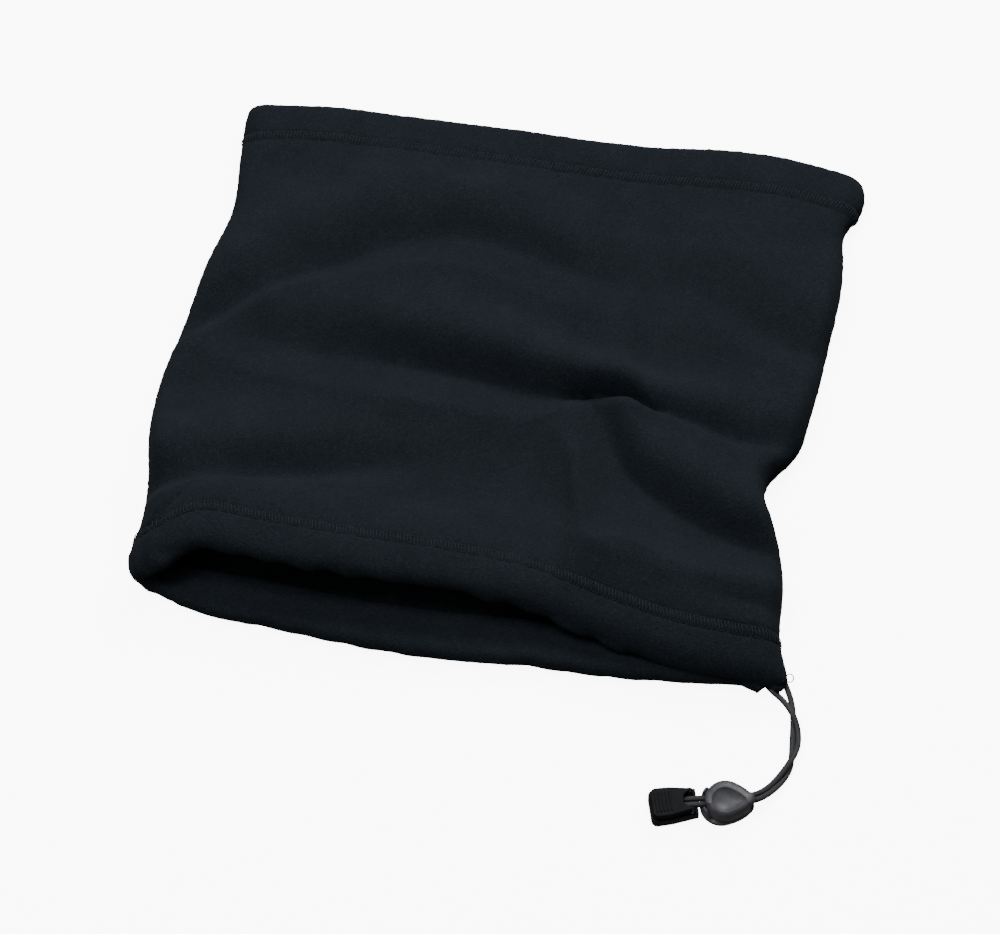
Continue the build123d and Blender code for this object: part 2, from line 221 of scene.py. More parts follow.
# How far the rim rolls down, nearly all of it within the reach.
RIM_DROP = [(-134, 4.5), (0, 5), (50, 7.5), (80, 9.5), (105, 10), (120, 9), (134, 6)]
RIM_DROP_REACH = 4.5
EDGE_ROLL_LEFT = [(-118, 13), (-100, 11), (-80, 8), (0, 6.5), (125, 6)]
EDGE_ROLL_RIGHT = [(-118, 6.5), (0, 6), (125, 6)]
PLATEAU = 26.0               # how slowly the fabric in front of a fold comes down again

# Each fold is a valley line with a slope down to it from behind and a short rise in front:
# (x, y, height behind, width behind, height in front, width in front).
FOLDS = [
    [(-150, -9, 6, 18, 2.5, 4.5), (-138, -0.5, 7, 18, 3, 4.5), (-120, 15.5, 8, 20, 3.5, 5),
     (-100, 32, 8.5, 22, 4, 6), (-79, 43.5, 8.5, 23, 4.5, 8), (-62, 55, 8, 22, 5, 12),
     (-40, 63.5, 7.5, 22, 5.5, 15), (-24, 65, 7, 21, 5.5, 17), (-7, 62.5, 6.5, 20, 5, 18),
     (17, 56, 5, 18, 3.5, 17), (36, 53, 3, 17, 2, 16), (56, 51.5, 1.5, 16, 1, 14), (80, 51, 0, 16, 0, 14)],
    [(-130, 5, 0, 16, 1, 12), (-110, 1.5, 2.5, 18, 3, 16), (-89, -1, 5, 19, 5, 18),
     (-68, -1, 7.5, 20, 6, 19), (-46, -2, 10, 20, 6.5, 19), (-25, -3, 11.5, 19, 6.5, 18),
     (-3, -4.5, 12, 17, 6.5, 17), (18, -5.5, 11.5, 13.5, 5, 12), (36, -3, 9, 9, 3.5, 4.5),
     (48, -3.5, 7.5, 8.5, 3.5, 4), (62, -5.8, 7, 9, 3.5, 4), (79, -10, 6, 12, 3.5, 4.5),
     (99, -15, 5.5, 15, 3.5, 5), (121, -13.5, 5, 17, 3, 6), (140, -12, 4.5, 17, 2, 8)],
    [(18, 4, 0, 10, 0, 20), (29, -3, 1.5, 10, 4, 22), (36, -9, 3.5, 10, 9, 25),
     (42, -18, 5.5, 12, 11, 25), (51, -33, 8, 14, 11.5, 26), (66, -46.5, 9.5, 16, 11, 27),
     (84, -56, 10, 17, 9.5, 25), (104, -63, 10.5, 18, 7, 20), (124, -67, 10.5, 18, 5, 14)],
    [(-150, -82, 10, 20, 3, 6), (-137, -79.5, 12, 20, 4, 6), (-118, -74, 13, 20, 4, 6),
     (-98, -69.5, 12, 20, 4, 6), (-78, -64.5, 9.5, 20, 3.5, 6), (-58, -58, 6, 19, 2.5, 7),
     (-38, -52, 2.5, 17, 1, 10), (-15, -48, 0, 17, 0, 10)],
    [(74, -84, 0, 8, 0, 8), (88, -88, 1.5, 9, 1.5, 8), (101, -91, 2.5, 10, 2.5, 8),
     (113, -92, 3, 10, 3, 8), (130, -93, 2.5, 10, 3, 8)],
    [(50, 62, 0, 20, 0, 10), (66, 56, 2, 20, 1, 10), (84, 48, 4.5, 22, 2, 10),
     (105, 36.5, 6.5, 24, 2.5, 10), (127, 30.5, 7, 24, 2.5, 9), (140, 28, 7, 24, 2.5, 9)],
]
# Narrow grooves where the cloth is pinched: (half width, [(x, y, depth), ...]).
GROOVES = [
    (2.3, [(20, -6, 0), (29, -3.2, 4), (36, -1.8, 8), (43, -1.5, 8.5), (50, -2.2, 6), (59, -4.5, 2),
           (67, -7, 0)]),
    (1.4, [(-142, -109, 0), (-135, -102.5, 1.6), (-127, -92.5, 2), (-121, -84, 2.2), (-116, -79, 2.2),
           (-110, -77.5, 1.4), (-100, -76.5, 0.9), (-80, -72.7, 0.6), (-50, -69, 0.3), (-20, -67, 0)]),
]


SWELL = 1.55                 # how slowly a fold's back rises out of its valley


def swell(part):
    """0 at a valley, up to 1 at the width, then back to 0."""
    return part ** SWELL * np.exp(SWELL / 2 * (1 - part ** 2))


def fold_height(x, y):
    total = np.zeros_like(x)
    for line in FOLDS:
        table = np.array(line, dtype=float).T
        path = list(zip(table[0], table[1]))
        valley = smooth_curve(path, x)
        slope = smooth_curve(path, x + 1) - valley
        sizes = [np.interp(x, table[0], values) for values in table[2:]]
        back_height, back_width, front_height, front_width = sizes
        distance = (y - valley) / np.sqrt(1 + slope ** 2)
        behind = np.maximum(distance, 0) / back_width
        before = np.maximum(-distance, 0) / front_width
        rise = np.where(before < 1, before ** 1.25, np.exp(-(before - 1) * front_width / PLATEAU))
        total += back_height * swell(behind) + front_height * rise
    return total


def groove_depth(x, y):
    total = np.zeros_like(x)
    for width, line in GROOVES:
        table = np.array(line, dtype=float).T
        path = list(zip(table[0], table[1]))
        middle = smooth_curve(path, x)
        slope = smooth_curve(path, x + 1) - middle
        depth = np.interp(x, table[0], table[2])
        total += depth * np.exp(-(y - middle) ** 2 / (1 + slope ** 2) / width ** 2)
    return total


def ripple(x, y, size, seed):
    """Slow irregular unevenness, between about -1 and 1."""
    rng = np.random.default_rng(seed)
    total = np.zeros_like(x)
    for _ in range(7):
        way = rng.uniform(0, 2 * math.pi)
        length = size * rng.uniform(0.7, 1.6)
        phase = rng.uniform(0, 2 * math.pi)
        total += np.sin(2 * math.pi * (x * math.cos(way) + y * math.sin(way)) / length + phase)
    return total / 4


def upper_layer(x, y):
    """Height of the upper layer's mid-surface."""
    behind_rim = y - smooth_curve(MOUTH_HIGH_LINE, x)
    lift = 1 / (1 + np.exp((behind_rim - MOUTH_REACH) / MOUTH_FADE))
    calm = np.clip((behind_rim - 10) / 22, 0, 1) * np.clip((112 - y) / 22, 0, 1)
    base = REST_HEIGHT + (smooth_curve(MOUTH_HEIGHT, x) - REST_HEIGHT) * lift
    drop = smooth_curve(RIM_DROP, x) * np.exp(-np.maximum(behind_rim, 0) / RIM_DROP_REACH)
    return base - drop + calm * fold_height(x, y) - groove_depth(x, y) + 0.6 * ripple(x, y, 40, SEED)


def lower_layer(x, y):
    return FLOOR_LAYER + 0 * x


def perimeter(u):
    """Where a distance round the tube lies: (side, right edge angle, left edge angle, share of the flat)."""
    u = np.mod(u, ROUND)
    side = np.where(u < HALF_ROUND, 1.0, -1.0)
    v = np.where(u < HALF_ROUND, u, ROUND - u)
    right = np.clip(v / EDGE_SPAN, 0, 1) * math.pi / 2
    left = np.clip((HALF_ROUND - v) / EDGE_SPAN, 0, 1) * math.pi / 2
    share = np.clip((v - EDGE_SPAN) / FLAT_SPAN, 0, 1)
    return side, right, left, share


def tube_point(t, u):
    """Mid-surface point at a distance t from the mouth and u round the tube from its right edge."""
    side, right, left, share = perimeter(u)
    rise = np.minimum(np.sin(right), np.sin(left))
    nominal = HALF_WIDTH * ((1 - 2 * share) * (1 - EDGE_SHARE)
                            + EDGE_SHARE * (np.cos(right) - np.cos(left)))
    high = 0.5 * (1 + side * rise)
    mouth = (smooth_curve(MOUTH_LOW_LINE, nominal) * (1 - high)
             + smooth_curve(MOUTH_HIGH_LINE, nominal) * high)
    y = mouth + (smooth_curve(TOP_LINE, nominal) - mouth) * t / LENGTH
    roll_right = smooth_curve(EDGE_ROLL_RIGHT, y)
    roll_left = smooth_curve(EDGE_ROLL_LEFT, y)
    x_right = smooth_curve(RIGHT_EDGE, y) - roll_right * (1 - np.cos(right))
    x_left = smooth_curve(LEFT_EDGE, y) + roll_left * (1 - np.cos(left))
    x = x_right + (x_left - x_right) * share
    middle = roll_right + (roll_left - roll_right) * share
    layer = np.where(side > 0, upper_layer(x, y), lower_layer(x, y))
    z = middle + (layer - middle) * rise
    return np.stack([x, y, z], axis=-1)


def inward(t, u):
    """Unit vectors from the mid-surface towards the inside of the tube."""
    along = tube_point(t + 0.7, u) - tube_point(t - 0.7, u)
    around = tube_point(t, u + 1.0) - tube_point(t, u - 1.0)
    return unit(np.cross(around, along))


# Where the gathered hem bulges past its rim: (distance round the tube, bulge, half width).
RIM_LUMPS = [(ROUND - 20, 3.4, 3.0), (ROUND - 8, 3.6, 2.6), (-1, 1.2, 4)]
SEAM_PLACE = 1.5


def rim_bulge(u):
    bulge = 0.45 * ripple(u, 0 * u, 17, SEED + 1)
    for place, amount, width in RIM_LUMPS:
        away = np.mod(u - place + HALF_ROUND, ROUND) - HALF_ROUND
        bulge = bulge + amount * np.exp(-(away / width) ** 2)
    return bulge


def hem_relief(t, u):
    """How far the cloth stands out of its mid-surface, in mm: hem puff, needle grooves, gathers."""
    total = np.zeros_like(t * u)
    for rim_distance, seed in ((t, SEED + 2), (LENGTH - t, SEED + 3)):
        puff = 0.4 * np.sin(math.pi * np.clip(rim_distance / 19, 0, 1))
        grooves = sum(np.exp(-((rim_distance - row) / 0.9) ** 2) for row in STITCH_ROWS)
        gather = ripple(u, 6 * rim_distance / 20, 11, seed) * np.exp(-((rim_distance - 16) / 9) ** 2)
        total += puff - 0.4 * grooves + 0.28 * gather
    corner = np.exp(-(np.abs(u - HALF_ROUND - 2) / 16) ** 2) * np.exp(-(t / 15) ** 2)
    total += 0.8 * corner * np.sin(2 * math.pi * u / 6.5)
    seam_away = np.mod(u - SEAM_PLACE + HALF_ROUND, ROUND) - HALF_ROUND
    total -= 0.7 * np.exp(-(seam_away / 1.0) ** 2)
    return total


def cloth_point(t, u, depth, relief=1.0):
    """A point at a depth inside the cloth's mid-surface."""
    t = t - rim_bulge(u) * np.exp(-np.abs(t) / 6)
    base = tube_point(t, u)
    return base + inward(t, u) * (depth - relief * hem_relief(t, u))[..., None]


UPPER_COLUMNS = 180
LOWER_COLUMNS = 100


def fleece_columns():
    upper = np.arange(UPPER_COLUMNS) / UPPER_COLUMNS * HALF_ROUND
    lower = HALF_ROUND + np.arange(LOWER_COLUMNS) / LOWER_COLUMNS * HALF_ROUND
    return np.concatenate([upper, lower])


def hem_rows(roll, hem, steps, arc_steps):
    """(distance from the rim, depth inside) from the raw edge out to the rim and over it."""
    raw = np.linspace(hem, roll, steps, endpoint=False)
    share = (raw - roll) / (hem - roll)
    facing = [(t, 2 * roll + (HEM_REST - 2 * roll) * s ** 0.8) for t, s in zip(raw, share)]
    angles = np.linspace(0, math.pi, arc_steps)
    arc = [(roll - roll * math.sin(a), roll + roll * math.cos(a)) for a in angles]
    return facing + arc


HEM_ROWS = [4.7, 6.7, 8.7, 10.7, 12.6, 14.1, 15.0, 15.6, 16.3, 17.6, 18.9, 19.6, 20.3, 21.3, 23.0]
MIDDLE_START = 24.6
MIDDLE_ROWS = 107


def body_distances():
    """Row places between the two rims, closer together at the stitching."""
    middle = np.linspace(MIDDLE_START, LENGTH - MIDDLE_START, MIDDLE_ROWS)
    return HEM_ROWS + list(middle) + [LENGTH - place for place in HEM_ROWS[::-1]]


def fleece_rows():
    mouth = hem_rows(MOUTH_ROLL, MOUTH_HEM, 9, 8)
    top = hem_rows(TOP_ROLL, TOP_HEM, 9, 7)
    body = [(t, 0.0) for t in body_distances()]
    return mouth + body + [(LENGTH - t, depth) for t, depth in top[::-1]]


def add_fleece():
    rows = np.array(fleece_rows())
    t, u = np.meshgrid(rows[:, 0], fleece_columns(), indexing="ij")
    depth = np.broadcast_to(rows[:, 1][:, None], t.shape)
    outer = depth < MOUTH_ROLL
    points = cloth_point(t, u, depth, relief=np.where(outer, 1.0, 0.0))
    faces = grid_faces(*t.shape, closed=True)
    piece = add_mesh("fleece", points.reshape(-1, 3), faces)
    solidify = piece.modifiers.new("thickness", "SOLIDIFY")
    solidify.thickness = FABRIC * MM
    solidify.offset = 0.0
    nap = bpy.data.textures.new("nap", "CLOUDS")
    nap.noise_scale = 1.5 * MM
    nap.noise_depth = 2
    fuzz = piece.modifiers.new("nap", "DISPLACE")
    fuzz.texture = nap
    fuzz.texture_coords = "GLOBAL"
    fuzz.strength = 0.75 * MM
    fuzz.mid_level = 0.5
    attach(piece, "gaiter")
    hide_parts("fleece_body", "top_hem_facing", "drawcord_hem_facing")
    piece.data.materials.append(fleece_material())
    return piece


# ---------------------------------------------------------------- side seam inside the tube
SEAM_ENDS = (24.0, 230.0)    # from the mouth
ALLOWANCE = (6.5, 1.3)       # depth and half thickness of the two layers sewn together


def seam_frame(t):
    """Points on the seam line and the ways inward and sideways from it."""
    u = np.full_like(t, SEAM_PLACE)
    way = inward(t, u)
    along = unit(np.gradient(cloth_point(t, u, 0 * t), axis=0))
    return cloth_point(t, u, 0 * t), way, unit(np.cross(along, way))


def seam_wave(t):
    """How far the allowance's free edge wanders sideways."""
    return 0.5 * np.sin(t / 3.1) + 0.3 * np.sin(t / 1.7)


def add_seam_allowance(material):
    """The two raw edges of the tube's seam, folded together inside."""
    depth, half = ALLOWANCE
    t = np.linspace(*SEAM_ENDS, 110)
    line, way, side = seam_frame(t)
    wave = seam_wave(t)
    angle = np.linspace(0, 2 * math.pi, 14, endpoint=False)
    across = np.sign(np.sin(angle)) * half * np.abs(np.sin(angle)) ** 0.45
    outline = np.stack([depth / 2 * (1 - np.cos(angle)), across], axis=-1)
    points = (line[:, None] + way[:, None] * (FABRIC / 2 + outline[None, :, :1])
              + side[:, None] * (outline[None, :, 1:] + wave[:, None, None] * outline[None, :, :1] / depth))
    faces = grid_faces(len(t), len(angle), closed=True)
    count = len(angle)
    faces.append(tuple(range(count))[::-1])
    faces.append(tuple(range((len(t) - 1) * count, len(t) * count)))
    piece = add_mesh("seam_allowance", points.reshape(-1, 3), faces)
    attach(piece, "gaiter")
    piece.data.materials.append(material)
    return piece


OVERLOCK_PITCH = 2.6


def add_seam_thread(material):
    """Overlock loops round the free edge of the seam allowance."""
    depth, half = ALLOWANCE
    count = int((SEAM_ENDS[1] - SEAM_ENDS[0]) / OVERLOCK_PITCH)
    starts = SEAM_ENDS[0] + OVERLOCK_PITCH * (np.arange(count) + 0.3)
    angle = np.linspace(-2.5, 2.5, 11)
    t = starts[:, None] + OVERLOCK_PITCH * (angle[None] / 5 + 0.5)
    line, way, side = seam_frame(t.reshape(-1))
    wave = seam_wave(t)
    reach = (FABRIC / 2 + depth - 2.4 + 2.6 * np.cos(angle))[None] + 0 * t
    across = (half + 0.3) * np.clip(1.3 * np.sin(angle), -1, 1)[None] + wave * reach / depth
    paths = (line.reshape(*t.shape, 3) + way.reshape(*t.shape, 3) * reach[..., None]
             + side.reshape(*t.shape, 3) * across[..., None])
    reference = unit(np.gradient(line.reshape(*t.shape, 3), axis=1) + 1e-6)
    points, faces = tube_mesh(paths, np.full(t.shape, 0.2), reference, 6)
    piece = add_mesh("side_seam_thread", points, faces)
    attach(piece, "gaiter")
    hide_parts("side_seam_stitching")
    piece.data.materials.append(material)
    return piece


# ---------------------------------------------------------------- stitches
THREAD = 0.38                # diameter
RUNG_PITCH = 1.42


def hem_stitches(from_mouth, seed):
    """A coverstitch: ladder rungs between two needle lines, with a loop at each end of a rung."""
    rng = np.random.default_rng(seed)
    near, far = STITCH_ROWS
    count = int(ROUND / RUNG_PITCH)
    u = (np.arange(count) + 0.15 * rng.uniform(-1, 1, count)) * ROUND / count
    place = np.linspace(0, 1, 7)
    lean = 0.35 * rng.uniform(0.4, 1.0, count)[:, None]
    distance = near + (far - near) * place[None] + 0.12 * rng.uniform(-1, 1, (count, 1))
    t = distance if from_mouth else LENGTH - distance
    lift = FABRIC / 2 + 0.12 + 0.3 * np.sin(math.pi * place) ** 0.6
    rungs = cloth_point(t, u[:, None] + lean * (place[None] - 0.5), -lift[None] + 0 * t)
    out = -inward(t, u[:, None] + 0 * t)
    radius = THREAD / 2 * (1 + 0.5 * np.abs(2 * place - 1) ** 3)
    parts = [tube_mesh(rungs, radius[None] + 0 * t, out, 6)]
    step = np.linspace(0.08, 0.92, 6)
    for row in STITCH_ROWS:
        along = u[:, None] + RUNG_PITCH * step[None]
        distance = row + 0.1 * np.sin(math.pi * step)[None] + 0 * along
        t = distance if from_mouth else LENGTH - distance
        lift = FABRIC / 2 - 0.1 + 0.35 * np.sin(math.pi * step)
        loops = cloth_point(t, along, -lift[None] + 0 * t)
        parts.append(tube_mesh(loops, np.full(t.shape, THREAD / 2), -inward(t, along), 6))
    return join(parts)


def add_hem_stitches(material):
    for name, from_mouth, node in (("mouth_coverstitch", True, "drawcord_hem_stitching"),
                                   ("top_coverstitch", False, "top_hem_stitching")):
        points, faces = hem_stitches(from_mouth, SEED + 11)
        piece = add_mesh(name, points, faces)
        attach(piece, "gaiter")
        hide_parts(node)
        piece.data.materials.append(material)


BARTACK_PLACES = (ROUND - 19, ROUND - 9)     # round the tube, one each side of the first strand's exit
BARTACK_TURNS = 9
BARTACK_WIDTH = 1.5
STRAY_LOOP_RADIUS = 0.26     # of the thread


def rim_round(angle, stand, u):
    """A point on the rim's outside, by the angle round its roll; stand is above the fleece."""
    reach = MOUTH_ROLL + FABRIC / 2 + stand
    return cloth_point(MOUTH_ROLL - reach * np.sin(angle), u, MOUTH_ROLL + reach * np.cos(angle), relief=0.0)


def stray_loop():
    """One loose loop of thread beside the second strand's exit."""
    turn = np.linspace(-2.9, 3.1, 26)
    x = 1.5 * np.cos(turn) - 0.9
    y = 2.2 + 1.7 * np.sin(turn)
    z = 0.6 + 0.5 * np.sin(turn / 2)
    path = np.array(EXIT_B) + np.stack([x, y, z], axis=-1)
    reference = np.broadcast_to(np.array([0.1, 0.2, 1.0]), (1, len(turn), 3))
    return tube_mesh(path[None], np.full((1, len(turn)), STRAY_LOOP_RADIUS), reference, 6)


def add_bartacks(material):
    """Dense thread bars beside the cord's exits, and one stray loop of thread."""
    angle = np.linspace(1.0, 2.4, 9)[None] + np.zeros((BARTACK_TURNS, 1))
    parts = []
    for place in BARTACK_PLACES:
        across = (np.arange(BARTACK_TURNS) / (BARTACK_TURNS - 1) - 0.5) * BARTACK_WIDTH
        u = place + across[:, None] + 0.12 * np.sin(5 * angle)
        stand = 0.1 + 0.25 * np.sin((angle - 1.0) / 1.4 * math.pi)
        paths = rim_round(angle, stand, u)
        reference = np.broadcast_to(np.array([1.0, 0.15, 0.1]), paths.shape)
        parts.append(tube_mesh(paths, np.full(angle.shape, 0.17), reference, 6))
    parts.append(stray_loop())
    points, faces = join(parts)
    piece = add_mesh("exit_bartacks", points, faces)
    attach(piece, "gaiter")
    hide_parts("cord_exit_bartacks")
    piece.data.materials.append(material)


# ---------------------------------------------------------------- materials
def new_material(name):
    material = bpy.data.materials.new(name)
    material.use_nodes = True
    return material, material.node_tree, material.node_tree.nodes["Principled BSDF"]


def noise_node(tree, scale, detail=4.0, roughness=0.6, stretch=(1.0, 1.0, 1.0)):
    place = tree.nodes.new("ShaderNodeTexCoord")
    mapping = tree.nodes.new("ShaderNodeMapping")
    mapping.inputs["Scale"].default_value = stretch
    noise = tree.nodes.new("ShaderNodeTexNoise")
    noise.inputs["Scale"].default_value = scale
    noise.inputs["Detail"].default_value = detail
    noise.inputs["Roughness"].default_value = roughness
    tree.links.new(place.outputs["Object"], mapping.inputs["Vector"])
    tree.links.new(mapping.outputs["Vector"], noise.inputs["Vector"])
    return noise.outputs["Fac"]


def ramp_node(tree, value, stops):
    ramp = tree.nodes.new("ShaderNodeValToRGB")
    ramp.color_ramp.elements[0].position = stops[0][0]
    ramp.color_ramp.elements[0].color = (*stops[0][1], 1.0)
    ramp.color_ramp.elements[1].position = stops[-1][0]
    ramp.color_ramp.elements[1].color = (*stops[-1][1], 1.0)
    for place, colour in stops[1:-1]:
        ramp.color_ramp.elements.new(place).color = (*colour, 1.0)
    tree.links.new(value, ramp.inputs["Fac"])
    return ramp.outputs["Color"]


def bump_node(tree, height, strength, distance, before=None):
    bump = tree.nodes.new("ShaderNodeBump")
    bump.inputs["Strength"].default_value = strength
    bump.inputs["Distance"].default_value = distance
    tree.links.new(height, bump.inputs["Height"])
    if before is not None:
        tree.links.new(before, bump.inputs["Normal"])
    return bump.outputs["Normal"]


def mix_colours(tree, blend, factor, first, second):
    mix = tree.nodes.new("ShaderNodeMix")
    mix.data_type = "RGBA"
    mix.blend_type = blend
    mix.inputs["Factor"].default_value = factor
    tree.links.new(first, mix.inputs["A"])
    tree.links.new(second, mix.inputs["B"])
    return mix.outputs["Result"]


def fleece_material():
    """Short brushed pile: a fine sideways grain over clumped tufts and faint cloudy shading."""
    material, tree, shader = new_material("fleece")
    grain = noise_node(tree, 1100.0, 5.0, 0.7, (1.0, 2.4, 1.0))
    clouds = noise_node(tree, 60.0, 3.0, 0.55)
    pile = ramp_node(tree, grain, [(0.3, (0.0030, 0.0040, 0.0052)), (0.52, (0.0065, 0.0085, 0.0108)),
                                   (0.74, (0.0150, 0.0185, 0.0225))])
    shade = ramp_node(tree, clouds, [(0.3, (0.82, 0.83, 0.85)), (0.7, (1.0, 1.0, 1.0))])
    tree.links.new(mix_colours(tree, "MULTIPLY", 1.0, pile, shade), shader.inputs["Base Color"])
    shader.inputs["Roughness"].default_value = 0.95
    shader.inputs["Specular IOR Level"].default_value = 0.03
    shader.inputs["Sheen Weight"].default_value = 0.012
    shader.inputs["Sheen Roughness"].default_value = 0.6
    shader.inputs["Sheen Tint"].default_value = (0.72, 0.86, 1.0, 1.0)
    tufts = noise_node(tree, 520.0, 4.0, 0.65, (1.0, 1.5, 1.0))
    normal = bump_node(tree, tufts, 0.55, 0.0005)
    tree.links.new(bump_node(tree, grain, 0.6, 0.0003, normal), shader.inputs["Normal"])
    return material


def thread_material():
    """Spun thread, a little lighter and shinier than the fleece."""
    material, tree, shader = new_material("thread")
    grain = noise_node(tree, 2600.0, 3.0)
    colour = ramp_node(tree, grain, [(0.3, (0.0060, 0.0078, 0.0097)), (0.7, (0.0145, 0.0180, 0.0220))])
    tree.links.new(colour, shader.inputs["Base Color"])
    shader.inputs["Roughness"].default_value = 0.7
    shader.inputs["Specular IOR Level"].default_value = 0.08
    tree.links.new(bump_node(tree, grain, 0.5, 0.00008), shader.inputs["Normal"])
    return material


def cord_material():
    """Braided polyester cover of an elastic cord."""
    material, tree, shader = new_material("elastic_cord")
    grain = noise_node(tree, 2600.0, 3.0)
    colour = ramp_node(tree, grain, [(0.3, (0.006, 0.0062, 0.0072)), (0.7, (0.018, 0.0185, 0.021))])
    tree.links.new(colour, shader.inputs["Base Color"])
    shader.inputs["Roughness"].default_value = 0.6
    shader.inputs["Specular IOR Level"].default_value = 0.22
    shader.inputs["Sheen Weight"].default_value = 0.03
    tree.links.new(bump_node(tree, grain, 0.4, 0.00006), shader.inputs["Normal"])
    return material


def plastic_material(name, dark, light, gloss):
    """Moulded acetal with a fine spark-eroded texture and rounded edges that catch the light."""
    material, tree, shader = new_material(name)
    grain = noise_node(tree, 2600.0, 3.0)
    blotch = noise_node(tree, 260.0, 4.0, 0.6)
    colour = ramp_node(tree, blotch, [(0.3, dark), (0.7, light)])
    tree.links.new(colour, shader.inputs["Base Color"])
    scuff_noise = noise_node(tree, 420.0, 5.0, 0.7)
    scuffs = ramp_node(tree, scuff_noise, [(0.35, (0.42, 0.42, 0.42)), (0.7, (0.56, 0.56, 0.56))])
    tree.links.new(scuffs, shader.inputs["Roughness"])
    shader.inputs["Specular IOR Level"].default_value = gloss
    rounded = tree.nodes.new("ShaderNodeBevel")
    rounded.samples = 6
    rounded.inputs["Radius"].default_value = 0.35 * MM
    normal = bump_node(tree, grain, 0.3, 0.00008, rounded.outputs["Normal"])
    tree.links.new(bump_node(tree, blotch, 0.15, 0.0003, normal), shader.inputs["Normal"])
    return material


def steel_material():
    material, tree, shader = new_material("spring_steel")
    grain = noise_node(tree, 3000.0, 2.0)
    colour = ramp_node(tree, grain, [(0.3, (0.45, 0.45, 0.46)), (0.7, (0.62, 0.62, 0.63))])
    tree.links.new(colour, shader.inputs["Base Color"])
    shader.inputs["Metallic"].default_value = 1.0
    shader.inputs["Roughness"].default_value = 0.35
    return material


# ---------------------------------------------------------------- drawcord
CORD = 0.0025
EXIT_A = (124.3, -117.8, 3.0)        # where each strand leaves the hem; its route starts inside
EXIT_B = (134.3, -116.6, 3.7)
STRAND_A = [
    (121.5, -115.5, 3.0), (126.6, -120.4, 3.0), (131.4, -124.0, 3.9), (136.3, -129.4, 4.4),
    (139.3, -134.6, 2.4),
    (140.6, -140.6, 1.6), (140.2, -146.6, 3.7), (138.2, -152.4, 4.5), (135.2, -158.6, 4.3),
    (131.8, -164.3, 4.7),
    (126.6, -169.0, 4.9), (115.0, -172.2, 4.9), (104.2, -173.9, 5.1), (97.6, -175.8, 5.1),
]
STRAND_B = [
    (130.6, -114.6, 3.7), (133.3, -119.4, 3.3), (135.8, -124.4, 1.6), (137.2, -131.0, 1.35),
    (138.0, -139.5, 1.35),
    (138.7, -147.0, 1.35), (138.9, -153.6, 1.45), (136.6, -160.2, 3.0), (132.7, -166.7, 4.8),
    (127.3, -171.3, 4.9),
    (115.4, -174.8, 4.9), (104.6, -176.5, 5.1), (98.3, -178.3, 5.1),
]
BRAID_SIDES = 40
BRAID_RIBS = 8
BRAID_DEPTH = 0.07
BRAID_LAY = 5.2              # length of one turn of the braid's carriers


def nurbs_path(points):
    """Points along one smooth open spline with these points, in mm, as its control points."""
    data = bpy.data.curves.new("route", "CURVE")
    data.dimensions = "3D"
    data.resolution_u = 26
    spline = data.splines.new("NURBS")
    spline.points.add(len(points) - 1)
    for point, place in zip(spline.points, points):
        point.co = (*(value * MM for value in place), 1.0)
    spline.order_u = 3
    spline.use_endpoint_u = True
    route = bpy.data.objects.new("route", data)
    bpy.context.scene.collection.objects.link(route)
    bpy.context.view_layer.update()
    mesh = bpy.data.meshes.new_from_object(route.evaluated_get(bpy.context.evaluated_depsgraph_get()))
    path = np.array([tuple(vertex.co) for vertex in mesh.vertices])
    bpy.data.meshes.remove(mesh)
    bpy.data.objects.remove(route)
    return path


def carried_frames(path):
    """Two unit vectors across a path, carried along it without twisting."""
    tangent = unit(np.gradient(path, axis=0))
    first = np.zeros_like(path)
    side = np.cross(tangent[0], (0.0, 0.0, 1.0))
    for i, way in enumerate(tangent):
        side = side - way * np.dot(side, way)
        side = side / np.linalg.norm(side)
        first[i] = side
    return first, np.cross(tangent, first)


def braided_cord(path, diameter):
    """A braided tube round a path, both in mm: crossing carriers over lengthwise ribs."""
    first, second = carried_frames(path)
    length = np.concatenate([[0], np.cumsum(np.linalg.norm(np.diff(path, axis=0), axis=1))])
    angle = np.arange(BRAID_SIDES) * 2 * math.pi / BRAID_SIDES
    turn = 2 * math.pi * length[:, None] / BRAID_LAY
    carriers = (np.cos(BRAID_RIBS / 2 * (angle[None] + turn)) * np.cos(BRAID_RIBS / 2 * (angle[None] - turn)))
    ribs = np.cos(BRAID_RIBS * angle)[None]
    radius = diameter / 2 - BRAID_DEPTH + BRAID_DEPTH * (0.6 * carriers + 0.4 * ribs)
    points = (path[:, None] + radius[..., None] * (first[:, None] * np.cos(angle)[None, :, None]
                                                   + second[:, None] * np.sin(angle)[None, :, None]))
    faces = grid_faces(len(path), BRAID_SIDES, closed=True)
    faces.append(tuple(range(BRAID_SIDES))[::-1])
    last = (len(path) - 1) * BRAID_SIDES
    faces.append(tuple(range(last, last + BRAID_SIDES)))
    return points.reshape(-1, 3), faces


def add_strands(material):
    """The two free ends of the drawcord."""
    strands = []
    for name, points, way_out, node in (("strand_a", STRAND_A, EXIT_A, "drawcord_strand_a"),
                                        ("strand_b", STRAND_B, EXIT_B, "drawcord_strand_b")):
        path = nurbs_path(points)
        piece = add_mesh(name, *braided_cord(path / MM, CORD / MM))
        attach(piece, "gaiter")
        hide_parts(node)
        piece.data.materials.append(material)
        strands.append((piece, way_out, path))
    return strands


HELD_CORD_ENDS = (ROUND - 12.5, -3.5)    # round the tube, where the two strands leave the hem


def add_held_cord(material):
    """The drawcord inside the hem's rolled rim, from one exit round to the other."""
    start, end = HELD_CORD_ENDS
    u = np.linspace(start, end, 420)
    t = np.full_like(u, MOUTH_ROLL + 0.1)
    path = cloth_point(t, u, np.full_like(u, MOUTH_ROLL), relief=0.0)
    piece = add_mesh("held_drawcord", *braided_cord(path, CORD / MM))
    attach(piece, "gaiter")
    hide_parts("drawcord_in_channel")
    piece.data.materials.append(material)


